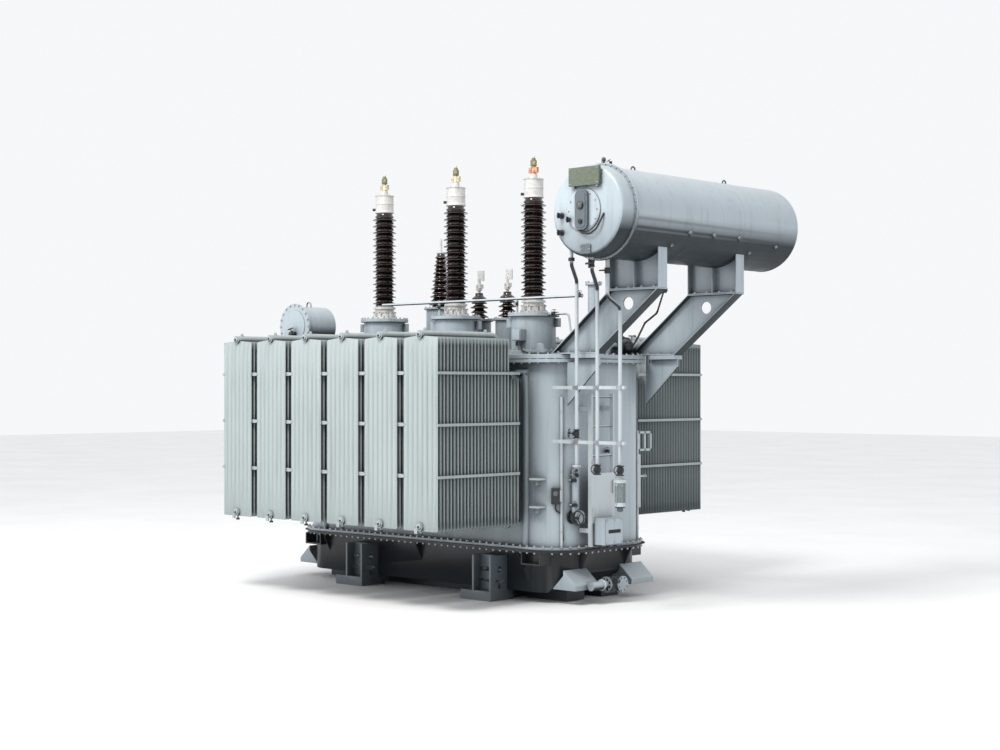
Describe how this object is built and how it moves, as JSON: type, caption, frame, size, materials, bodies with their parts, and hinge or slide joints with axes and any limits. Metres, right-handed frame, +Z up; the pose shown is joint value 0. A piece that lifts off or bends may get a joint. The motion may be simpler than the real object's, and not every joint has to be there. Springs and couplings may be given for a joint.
{
  "type": "power transformer",
  "caption": "Oil-immersed high-voltage power transformer with panel radiator banks, tall bushings and a raised oil conservator.",
  "frame": {"origin": "on the floor under the middle of the tank, at the centre of the underside of the base's cross bearer", "axes": "+X along the tank towards the end with the oil conservator, -Y towards the front radiator bank, +Z up"},
  "size_m": [6.0299, 4.67, 5.09],
  "materials": {
    "tank_paint": "light grey semi-gloss enamel",
    "radiator_paint": "light grey semi-gloss enamel",
    "pipe_paint": "light grey semi-gloss enamel",
    "porcelain_glaze": "dark brown glaze",
    "bushing_metal": "cast, matt",
    "terminal_metal": "tinned, matt",
    "relay_paint": "dark grey semi-gloss enamel",
    "breather_glass": "clear glass with beads"
  },
  "bodies": {
    "root": {"base_tray": "tank_paint", "breather": "breather_glass", "cable_box": "tank_paint", "conservator_cover": "tank_paint", "conservator_dome": "tank_paint", "conservator_saddle_front": "tank_paint", "conservator_saddle_rear": "tank_paint", "conservator_shell": "tank_paint", "conservator_strut_front": "tank_paint", "conservator_strut_rear": "tank_paint", "drain_valve": "tank_paint", "gas_pipe": "pipe_paint", "gas_relay": "relay_paint", "hv_head_1": "bushing_metal", "hv_head_2": "bushing_metal", "hv_head_3": "bushing_metal", "hv_porcelain_1": "porcelain_glaze", "hv_porcelain_2": "porcelain_glaze", "hv_porcelain_3": "porcelain_glaze", "hv_sleeve_1": "bushing_metal", "hv_sleeve_2": "bushing_metal", "hv_sleeve_3": "bushing_metal", "hv_turret_1": "tank_paint", "hv_turret_2": "tank_paint", "hv_turret_3": "tank_paint", "jacking_brackets_front": "tank_paint", "jacking_brackets_rear": "tank_paint", "ladder": "pipe_paint", "lower_pipes_front": "tank_paint", "lower_pipes_rear": "tank_paint", "lv_porcelains": "porcelain_glaze", "lv_terminals": "terminal_metal", "lv_turrets": "tank_paint", "neutral_porcelain": "porcelain_glaze", "neutral_terminal": "terminal_metal", "neutral_turret": "tank_paint", "oil_pipe": "tank_paint", "radiator_front_1": "radiator_paint", "radiator_front_2": "radiator_paint", "radiator_front_3": "radiator_paint", "radiator_front_4": "radiator_paint", "radiator_front_5": "radiator_paint", "radiator_front_6": "radiator_paint", "radiator_rear_1": "radiator_paint", "radiator_rear_2": "radiator_paint", "radiator_rear_3": "radiator_paint", "radiator_rear_4": "radiator_paint", "radiator_rear_5": "radiator_paint", "radiator_rear_6": "radiator_paint", "side_manhole": "tank_paint", "side_pipes": "pipe_paint", "strut_bracket_front": "tank_paint", "strut_bracket_rear": "tank_paint", "tank_body": "tank_paint", "tank_cover": "tank_paint", "towing_gussets_left": "tank_paint", "towing_gussets_right": "tank_paint", "upper_pipes_front": "tank_paint", "upper_pipes_rear": "tank_paint", "vent_riser": "tank_paint"}
  },
  "joints": []
}
